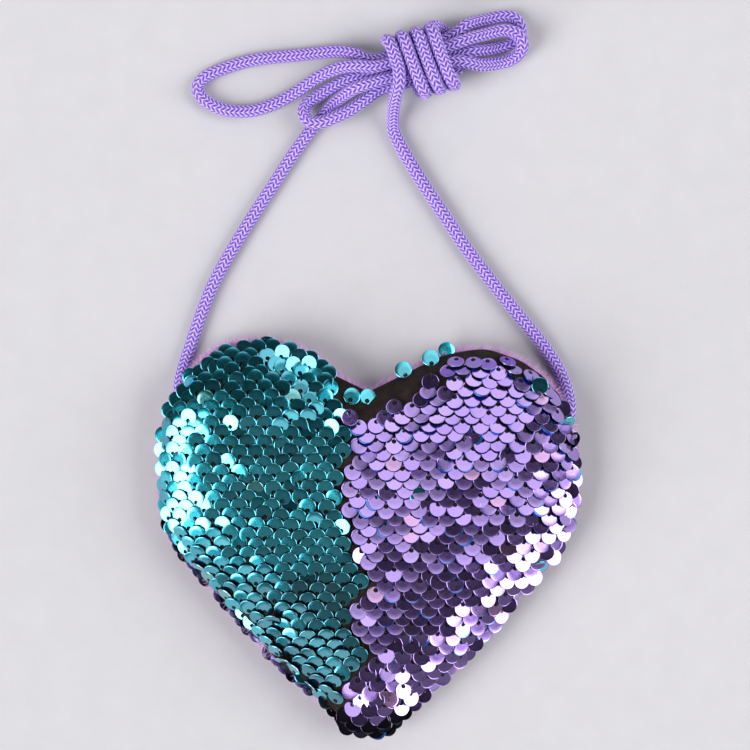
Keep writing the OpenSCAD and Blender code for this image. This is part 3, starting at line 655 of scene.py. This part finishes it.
def field(name, flat, way, turned, flank, extra, node, slot):
    """The discs sewn at the flat places with the free edge towards way, and the extra loose ones.

    turned lists the places whose disc mirrors a part of the sky of its own, and flank is the part
    that some discs on the steep flank mirror."""
    n, (x, y) = len(flat), flat.T
    here, ahead, up, steep = sewn_frames(flat, way)
    # Painted shade zones: at the tip and on the top of the teal lobe some discs are tilted dark and given a
    # low tint, and in the lower half of the teal field the tints are pulled towards near black
    tip = smooth(-y, 47, 50)
    crown = smooth(y, 34, 41) * (way > 0)
    low = smooth(-y, 0, 14) * (way > 0) * (nearest(flat)[0] + ARC_EXTRA > 5.0)
    showing = smooth(y, -60, -15) * smooth(-way * x, -10, 20) * smooth(-y, -34, -24)
    shows = (steep > 0.1) & (rng.random(n) < SHOWS_SHARE * showing)
    dark = ~shows & (rng.random(n) < DARK_FLANK * steep + DARK_TIP * tip + DARK_CROWN * crown)
    up[shows] = mirroring(flank)
    up[dark] = unit(mirroring(OVERHEAD) + rng.normal(0, MIRROR_SPREAD, (n, 3))[dark])
    lift = np.full(n, LIFT)
    for sky, places in turned.items():
        for place in places:
            k = np.linalg.norm(here[:, :2] + [0, way * SEWN_OFF] - place, axis=1).argmin()
            up[k], lift[k] = mirroring(sky), LIFT + TURNED_LIFT
    ahead = squared(ahead, up)
    right = np.cross(ahead, up)
    holes = here + up * lift[:, None] + ahead * (SEWN_OFF - HOLE_OFF)
    own = np.clip(rng.normal(TINT_MEAN, TINT_SPREAD, n), *TINT_RANGE)
    own = np.where(rng.random(n) < BRIGHT_SHARE, 1.0, own)
    # Painted shade: dark discs take a low tint, near black at the tip, and the teal discs low in the field
    # are darkened towards near black.
    own = np.where(dark, np.where(tip > 0.2, 0.0, 0.1), own)
    own = own + low * (0.034 + 0.02 * own - own)
    parts = [holes, right, ahead, up, own, np.full(n, way > 0)]
    # Painted reflection: under some purple discs a blue disc is tucked, a little ahead and below, so that a
    # blue crescent shows under the free edge.
    if way < 0:
        lit = rng.random(n) < GLINT_SHARE
        aside = rng.normal(0, GLINT_ASIDE, n)[:, None]
        under = holes + ahead * GLINT_AHEAD + right * aside - up * GLINT_BELOW
        glints = [under, right, ahead, up, np.full(n, GLINT), parts[5]]
        parts = [np.concatenate([a, b[lit]]) for a, b in zip(parts, glints)]
    parts = [np.concatenate([a, b]) for a, b in zip(parts, [np.array(c) for c in zip(*extra)])]
    discs(name, *parts, node, "purse", slot)


def headed(heading, lean=0.0, roll=0.0):
    """The frame of one level disc whose free edge points to heading, then tilted."""
    a = math.radians(heading)
    right, ahead = np.array([[math.cos(a), math.sin(a), 0.0]]), np.array([[-math.sin(a), math.cos(a), 0.0]])
    return tilted(right, ahead, np.array([[0.0, 0.0, 1.0]]), np.array([lean]), np.array([roll]))


def loose(teal_up, centre, height, heading, lean, roll, own):
    """One disc of its own, by the place of its centre, the way its free edge points and its tilt."""
    right, ahead, up = headed(heading, lean, roll)
    hole = np.array([*centre, front_z(centre) + height]) - ahead[0] * HOLE_OFF
    return hole, right[0], ahead[0], up[0], own, teal_up


def rim_row(top=5.0, bottom=-52.0, pitch=3.1, below=2.0):
    """A row of dark discs under the lower left edge, where every seventh is missing; their near-black tint is
    painted shade.
    """
    edge = HALF[(HALF[:, 1] < top) & (HALF[:, 1] > bottom)] * [-1, 1]
    lengths = run_lengths(edge)
    rims = places_at(np.arange(1.0, lengths[-1], pitch), lengths, edge)
    return [loose(False, rim + unit(MIDDLE - rim) * (0.1 + 0.35 * (k % 3)), -below, 130.0 + 9.0 * (k % 4),
                  8.0, -12.0, 0.012 + 0.008 * (k % 3))
            for k, rim in enumerate(rims) if k % 7 != 3]


# Loose discs: centre, height over the cloth, heading, lean, roll and tint; a tint of 0.0 is near black,
# painted shade.
TEAL_LOOSE = [((-4.7, 40.8), 1.6, -25.0, -13.0, 4.0, 0.9), ((-0.1, 40.5), 1.4, -15.0, -18.0, 6.0, 0.9),
              ((22.3, 53.9), 1.6, -35.0, -11.0, 8.0, 0.5), ((56.7, 33.1), 1.8, -40.0, 20.0, 52.0, 0.5),
              ((48.7, -8.1), 1.6, -60.0, 4.0, 50.0, 0.8), ((14.1, 12.8), 0.7, 10.0, 4.0, 0.0, 0.6)]
PURPLE_LOOSE = [((-5.3, 34.8), 2.7, 200.0, 2.0, -14.0, 0.2), ((58.4, 28.2), 1.5, 150.0, 0.0, 45.0, 0.0),
                ((-57.3, 4.5), 1.0, 160.0, 0.0, -30.0, 0.0), ((17.6, 44.8), 1.3, 175.0, 2.0, 0.0, 0.06),
                ((6.1, -45.2), 1.2, 195.0, -12.0, 12.0, 1.0), ((-6.7, -52.3), 1.0, 190.0, 2.0, 0.0, 0.0),
                ((-3.3, -52.6), 1.2, 180.0, 0.0, 4.0, 0.0), ((0.4, -53.8), 1.0, 175.0, -3.0, 0.0, 0.0),
                ((3.9, -51.6), 1.2, 165.0, 2.0, 3.0, 0.0)]
# Sewn discs that mirror a part of the sky of their own
TEAL_TURNED = {LEFT_BOX: ((-39.9, 32.1), (-51.9, 35.2), (-7.7, 35.9), (-9.4, 34.0), (-6.2, 6.9)),
               NEAR_SIDE: ((-14.0, 38.4), (-16.7, 36.3), (-21.5, 35.2), (-23.4, 33.7), (-49.6, 46.1)),
               RIGHT_BOX: ((-23.8, 53.4), (-21.9, 50.7), (-17.3, 50.1))}
PURPLE_TURNED = {RIGHT_BOX: ((-0.3, -3.8), (8.9, -42.2), (11.7, -45.0)),
                 FAR_SIDE: ((6.8, -33.4), (-6.5, -46.2)),
                 OVERHEAD: ((1.0, -49.0), (-2.5, -49.5))}
TEAL_KEEP, PURPLE_KEEP, EDGE_KEEP, EDGE_ROOM = 1.3, 1.6, 2.2, 2.4

lattice = lattice_points()
teal_places = lattice[is_teal(lattice) & is_teal(lattice + [0, 2 * ROW])
                      & is_teal(lattice + [PITCH / 2, ROW]) & on_cloth(lattice, TEAL_KEEP)]
purple_places = lattice[~is_teal(lattice) & on_cloth(lattice, PURPLE_KEEP)
                        & on_cloth(lattice + [0, EDGE_ROOM], EDGE_KEEP) & off_shoulder(lattice)]
field("teal_sequin_field", teal_places, 1, TEAL_TURNED, LEFT_BOX, [loose(True, *row) for row in TEAL_LOOSE],
      "teal_sequins", "sequin_teal")
field("purple_sequin_field", purple_places, -1, PURPLE_TURNED, RIGHT_BOX,
      [loose(False, *row) for row in PURPLE_LOOSE] + rim_row(), "purple_sequins", "sequin_purple")

# Free sequins on their hinges: heading, lean and tint
FREE = {1: (20.0, -15.0, 0.9), 2: (10.0, -14.0, 0.6), 3: (0.0, 3.0, 0.06)}
joints = frame["record"]["behaviour"]["joints"]
hinges = {joint["name"]: np.array(joint["pos_m"]) / MM for joint in joints if "pos_m" in joint}
for k, (heading, lean, own) in FREE.items():
    discs(f"free_sequin_{k}", hinges[f"flip_{k}_turn"][None], *headed(heading, lean), np.array([own]), [True],
          f"flip_sequin_{k}", f"flip_{k}", "sequin_teal", SEWN_OFF)

# Their sewing threads: how far ahead of the hinge each begins, and where it meets the cloth
TIE_R, TIE_SIDES, TIE_DROP = 0.13, 6, 0.3
TIES = {1: (0.3, (0.26, 0.28)), 2: (0.2, (0.55, 0.96)), 3: (0.2, (-0.66, 2.29))}


def tie(name, hinge, heading, start, foot):
    """A sewing thread from a free sequin's hole down to the cloth, clear of the sequin as it turns.

    foot is where it meets the cloth, across and ahead of the hinge."""
    across, ahead = (v[0] for v in headed(heading)[:2])
    top, foot = hinge + ahead * start - [0, 0, TIE_DROP], hinge + across * foot[0] + ahead * foot[1]
    foot[2] = front_z(foot[:2])
    run = unit(foot - top)
    side = unit(np.cross(run, across))
    k = np.arange(TIE_SIDES)
    turns = k * 2 * math.pi / TIE_SIDES
    ring = (np.cos(turns)[:, None] * side + np.sin(turns)[:, None] * np.cross(run, side)) * TIE_R
    m = (k + 1) % TIE_SIDES
    obj = mesh_object(name, np.concatenate([top + ring, foot + run * TIE_R + ring]),
                      np.column_stack([k, m, m + TIE_SIDES, k + TIE_SIDES]), [thread])
    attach(obj, "purse")


for k, (start, foot) in TIES.items():
    tie(f"sewing_thread_{k}", hinges[f"flip_{k}_turn"], FREE[k][0], start, foot)


# Front cloth: the padded dome under the sequins, finer than the CAD's
DOME_SHARES = [1, 0.997, 0.99, 0.98, 0.965, 0.945, 0.92, 0.89, 0.85, 0.8, 0.72, 0.6, 0.45, 0.3, 0.15, 0.03]
EDGE_WAVE, PUCKER = 0.4, 0.16


def dome(name):
    outline = whole_heart(1.0)
    outline = outline + unit(outline - MIDDLE) * EDGE_WAVE * swell(outline, 2.0, 1.3)[:, None]
    n, rings = len(outline), []
    for share in DOME_SHARES:
        p = MIDDLE + share * (outline - MIDDLE)
        d = np.maximum(nearest(p)[0], 0) if share < 1 else np.zeros(n)
        pucker = PUCKER * swell(p, 0.9, 0.7) * (share < 1)
        rings.append(np.column_stack([p, SEAM_Z + puff(d, FRONT_RISE, FRONT_REACH) + pucker]))
    k, m = np.arange(n), (np.arange(n) + 1) % n
    faces = np.concatenate([np.column_stack([r * n + k, r * n + m, (r + 1) * n + m, (r + 1) * n + k])
                            for r in range(len(rings) - 1)])
    return mesh_object(name, np.concatenate(rings), faces, [mesh_cloth])


front_cloth = dome("front_cloth")
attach(front_cloth, "purse")
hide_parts("front_backing")

# Plush back: a smooth bowl with the zip's slot, and its pile as fine fibres
ZIP_Y, SLOT_HALF_L, SLOT_HALF_W = 15.0, 42.0, 5.2
PLUSH_T, PILE_FLAT, HEM_W, HEM_TOP, HEM_ROUND = 2.0, 0.25, 3.0, 4.5, 0.7
BOWL_SHARES = [1, 0.995, 0.985, 0.965, 0.94, 0.91, 0.88, 0.84, 0.78, 0.7, 0.55, 0.35, 0.12]
SHARP_EDGE = math.radians(40)


def back_z(depth, inset=0.0):
    """Height of the padded back's skin, kept off the sheet by what its flattened pile takes."""
    return np.maximum(SEAM_Z - puff(depth, SEAM_Z - inset, BACK_REACH - inset), PILE_FLAT)


def as_object(name, bm):
    mesh = bpy.data.meshes.new(name)
    bm.to_mesh(mesh)
    bm.free()
    obj = bpy.data.objects.new(name, mesh)
    scene.collection.objects.link(obj)
    return obj


def block(bm, size, centre):
    """A box in millimetres; returns its corners."""
    corners = bmesh.ops.create_cube(bm, size=1.0)["verts"]
    bmesh.ops.scale(bm, verts=corners, vec=Vector(size) * MM)
    bmesh.ops.translate(bm, verts=corners, vec=Vector(centre) * MM)
    return corners


def half_bowl(side):
    """The padded back on one side of the zip, closed: outer skin, inner skin and the cut between."""
    outline = whole_heart(2.0)
    bm = bmesh.new()

    def skin(inset):
        rings = []
        for share in BOWL_SHARES:
            p = MIDDLE + share * (outline - MIDDLE)
            p = p + unit(MIDDLE - p) * inset * share
            d = np.maximum(nearest(p)[0] - inset, 0) if share < 1 else np.zeros(len(p))
            points = np.column_stack([p, back_z(d, inset)]) * MM
            rings.append([bm.verts.new(Vector(point)) for point in points])
        return rings

    def wall(low, high):
        for k in range(len(low)):
            m = (k + 1) % len(low)
            bm.faces.new((low[k], low[m], high[m], high[k]))

    outer, inner = skin(0.0), skin(PLUSH_T)
    for rings in (outer, inner[::-1]):
        for low, high in zip(rings[:-1], rings[1:]):
            wall(low, high)
    wall(inner[0], outer[0])
    bm.faces.new(outer[-1])
    bm.faces.new(inner[-1][::-1])
    bmesh.ops.bisect_plane(bm, geom=bm.verts[:] + bm.edges[:] + bm.faces[:], plane_co=(0, ZIP_Y * MM, 0),
                           plane_no=(0, -side, 0), clear_outer=True)
    bmesh.ops.holes_fill(bm, edges=[e for e in bm.edges if e.is_boundary], sides=0)
    bmesh.ops.recalc_face_normals(bm, faces=bm.faces)
    return bm


def sort_faces(bm):
    """Puts the faces in the order of their corners, because triangulating leaves it to chance."""
    bm.verts.index_update()
    for i, face in enumerate(sorted(bm.faces, key=lambda face: sorted(v.index for v in face.verts))):
        face.index = i
    bm.faces.sort()


def bowl_half(name, node, side):
    """Half of the padded back with its share of the zip's slot and the folded hem along it."""
    shell = as_object(f"{name}_shell", half_bowl(side))
    cutter = bmesh.new()
    block(cutter, (2 * SLOT_HALF_L, 2 * SLOT_HALF_W, 2 * PLUSH_T + 2), (0, ZIP_Y, PLUSH_T / 2))
    slot = as_object(f"{name}_slot", cutter)
    shell.modifiers.new("slot", "BOOLEAN").object = slot
    bm = bmesh.new()
    bm.from_object(shell, bpy.context.evaluated_depsgraph_get())
    for spare in (shell, slot):
        bpy.data.objects.remove(spare)
    hem = block(bm, (2 * SLOT_HALF_L, HEM_W, HEM_TOP - PLUSH_T),
                (0, ZIP_Y + side * (SLOT_HALF_W + HEM_W / 2), (HEM_TOP + PLUSH_T) / 2))
    hem_edges = list(dict.fromkeys(e for v in hem for e in v.link_edges))
    bmesh.ops.bevel(bm, geom=hem_edges, offset=HEM_ROUND * MM, segments=3, affect="EDGES")
    bmesh.ops.triangulate(bm, faces=[f for f in bm.faces if len(f.verts) > 4])
    sort_faces(bm)
    obj = as_object(name, bm)
    mesh = obj.data
    mesh.polygons.foreach_set("use_smooth", np.ones(len(mesh.polygons), bool))
    mesh.set_sharp_from_angle(angle=SHARP_EDGE)
    mesh.materials.append(plush)
    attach(obj, "purse")
    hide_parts(node)


def left_lobe(q):
    """1 along the top of the left lobe, where the back stands out past the front, 0 elsewhere."""
    return smooth(q[:, 1], 34, 46) * smooth(-q[:, 0], 6, 16) * (1 - smooth(-q[:, 0], 44, 54))


# Pile: fibres on each half and where they grow, one fibre's measures, how they stray, and how much
# more of them, longer and further out, there are along the top of the left lobe
FIBRES, LYING_SHARE, FLANK_BAND, STEEP_BAND, SLOT_CLEAR = 38000, 0.36, 9.0, 6.0, 0.3
FIBRE_LENGTH, FIBRE_HALF_W, FIBRE_LOWEST = (1.3, 2.6), (0.06, 0.05, 0.015), 0.03
WAY_SPREAD, BEND_SPREAD, TIP_SPREAD = 0.33, 0.18, (-0.6, 0.5)
LOBE_MORE, LOBE_LONGER, LOBE_OUT, HALVES_LAP = 2.5, 0.8, 0.9, 8
FIBRE_TINTS = [(0.0, (0.68, 0.36, 0.76)), (0.5, (0.80, 0.48, 0.86)), (1.0, (0.90, 0.64, 0.93))]
fibre = Shader("pile_fibre")
fibre.set(Base_Color=fibre.ramp(fibre.attribute("shade"), FIBRE_TINTS), Roughness=0.85, Sheen_Weight=0.4,
          Sheen_Roughness=0.5)


def pile(name, side):
    """Fine tapered fibres: two thirds stand out from the bowl's flank, the rest lie flat under it."""
    outline = whole_heart(1.0)
    loop = np.concatenate([outline, outline[:1]])
    lengths = run_lengths(loop)
    fine = np.linspace(0, lengths[-1], 2000)
    spot = places_at(fine, lengths, loop)
    odds = (1 + LOBE_MORE * left_lobe(spot)) * ((spot[:, 1] - ZIP_Y) * side > -HALVES_LAP)
    at = rng.choice(fine, FIBRES, p=odds / odds.sum()) + rng.uniform(-0.1, 0.1, FIBRES)
    rim = places_at(at, lengths, loop)
    inward = unit(MIDDLE - rim)
    d = rng.uniform(0, 1, FIBRES) ** 1.5 * FLANK_BAND
    share = np.sqrt(rng.uniform(0, 1, FIBRES))
    under = rng.random(FIBRES) < LYING_SHARE
    root = np.where(under[:, None], MIDDLE + share[:, None] * (rim - MIDDLE), rim + inward * d[:, None])
    dep = np.maximum(nearest(root)[0], 0)
    steep = np.clip(1 - dep / STEEP_BAND, 0.05, 1)
    outward = np.column_stack([-inward * steep[:, None], -0.7 * (1 - steep)])
    way = unit(outward + rng.normal(0, WAY_SPREAD, (FIBRES, 3)))
    proud = left_lobe(root)
    length = rng.uniform(*FIBRE_LENGTH, FIBRES) * (0.55 + 0.45 * steep) * (1 + LOBE_LONGER * proud)
    start = np.column_stack([root - inward * (LOBE_OUT * proud * steep)[:, None], back_z(dep)])
    tip = start + way * length[:, None]
    tip[:, 2] += rng.uniform(*TIP_SPREAD, FIBRES)
    middle = (start + tip) / 2 + rng.normal(0, BEND_SPREAD, (FIBRES, 3))
    flat = unit(np.cross(way, rng.normal(0, 1, (FIBRES, 3))))
    verts = np.stack([point + flat * edge * half_w for point, half_w in
                      zip((start, middle, tip), FIBRE_HALF_W) for edge in (-1, 1)], 1)
    verts[..., 2] = np.maximum(verts[..., 2], FIBRE_LOWEST)
    past_slot = np.maximum(abs(root[:, 0]) - SLOT_HALF_L, abs(root[:, 1] - ZIP_Y) - SLOT_HALF_W)
    verts = verts[((root[:, 1] - ZIP_Y) * side > 0) & (past_slot > SLOT_CLEAR)]
    n, size = verts.shape[:2]
    faces = np.array([(0, 1, 3, 2), (2, 3, 5, 4)])[None] + (np.arange(n) * size)[:, None, None]
    obj = mesh_object(name, verts.reshape(-1, 3), faces.reshape(-1, 4), [fibre.mat],
                      attrs={"shade": np.repeat(rng.uniform(0, 1, n), size)})
    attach(obj, "purse")


for half_name, side in (("upper", 1), ("lower", -1)):
    bowl_half(f"plush_back_{half_name}", f"back_plush_{half_name}", side)
    pile(f"plush_pile_{half_name}", side)

# Looks of the nodes that keep their own shape
for mat, parts in ((wadding, ("front_wadding", "back_wadding_upper", "back_wadding_lower")),
                   (lining, ("front_lining", "back_lining_upper", "back_lining_lower")),
                   (zip_tape, ("zip_tape_upper", "zip_tape_lower")),
                   (zip_coil, ("zip_coil_upper", "zip_coil_lower")),
                   (zip_metal, ("zip_end_stops", "zip_slider", "zip_pull"))):
    for part in parts:
        for material_slot in frame["nodes"][part].material_slots:
            material_slot.material = mat

# Stage: the pale sheet in a light tent. Each light has its level and its edges along an axis of the
# sky, each as the place where the light is gone and the place where it is full.
SKY_TINT = (0.99, 0.98, 1.0, 1.0)
NEAR_GLOW = [("Y", -0.74, -0.82), ("X", -0.5, -0.38), ("X", 0.5, 0.38)]
FAR_GLOW = [("Y", 0.34, 0.5), ("X", -0.34, -0.12), ("X", 0.5, 0.34)]
LEFT_SOFTBOX = [("X", -0.42, -0.49), ("X", -0.94, -0.84), ("Y", 0.04, -0.08), ("Y", -0.74, -0.62)]
RIGHT_SOFTBOX = [("X", 0.51, 0.58), ("X", 1.0, 0.94), ("Y", 0.44, 0.34), ("Y", -0.31, -0.22)]
LIGHTS = [(1.0, NEAR_GLOW), (1.5, FAR_GLOW), (8.0, LEFT_SOFTBOX), (5.0, RIGHT_SOFTBOX)]


def tent():
    """World light by direction: dim overhead, brighter towards the near side, and the lights."""
    world = bpy.data.worlds.new("tent")
    world.use_nodes = True
    sky = Nodes(world.node_tree)
    where = sky.node("ShaderNodeSeparateXYZ", {"Vector": sky.node("ShaderNodeTexCoord").outputs["Generated"]})

    def step(axis, low, high, start=0.0, end=1.0):
        inputs = {"Value": where.outputs[axis], "From Min": low, "From Max": high, "To Min": start,
                  "To Max": end}
        return sky.node("ShaderNodeMapRange", inputs, interpolation_type="SMOOTHSTEP").outputs["Result"]

    total = step("Y", -0.5, 0.06, 0.19, 0.03)
    for level, edges in LIGHTS:
        light = level
        for edge in edges:
            light = sky.times(step(*edge), light)
        total = sky.plus(total, light)
    background = world.node_tree.nodes["Background"]
    sky.put(background.inputs["Strength"], total)
    background.inputs["Color"].default_value = SKY_TINT
    return world


scene.world = tent()

FLOOR = 3000.0
floor_corners = [(-FLOOR, -FLOOR, 0), (FLOOR, -FLOOR, 0), (FLOOR, FLOOR, 0), (-FLOOR, FLOOR, 0)]
floor = mesh_object("paper_sheet", floor_corners, [(0, 1, 2, 3)], smooth_faces=False)
paper = mottled("paper", (0.511, 0.508, 0.524), (0.532, 0.529, 0.545), 120.0, 5.0, 0.6, Roughness=0.9)
paper.bump(paper.noise(900.0, 3.0), strength=0.1, distance=0.0002)
floor.data.materials.append(paper.mat)
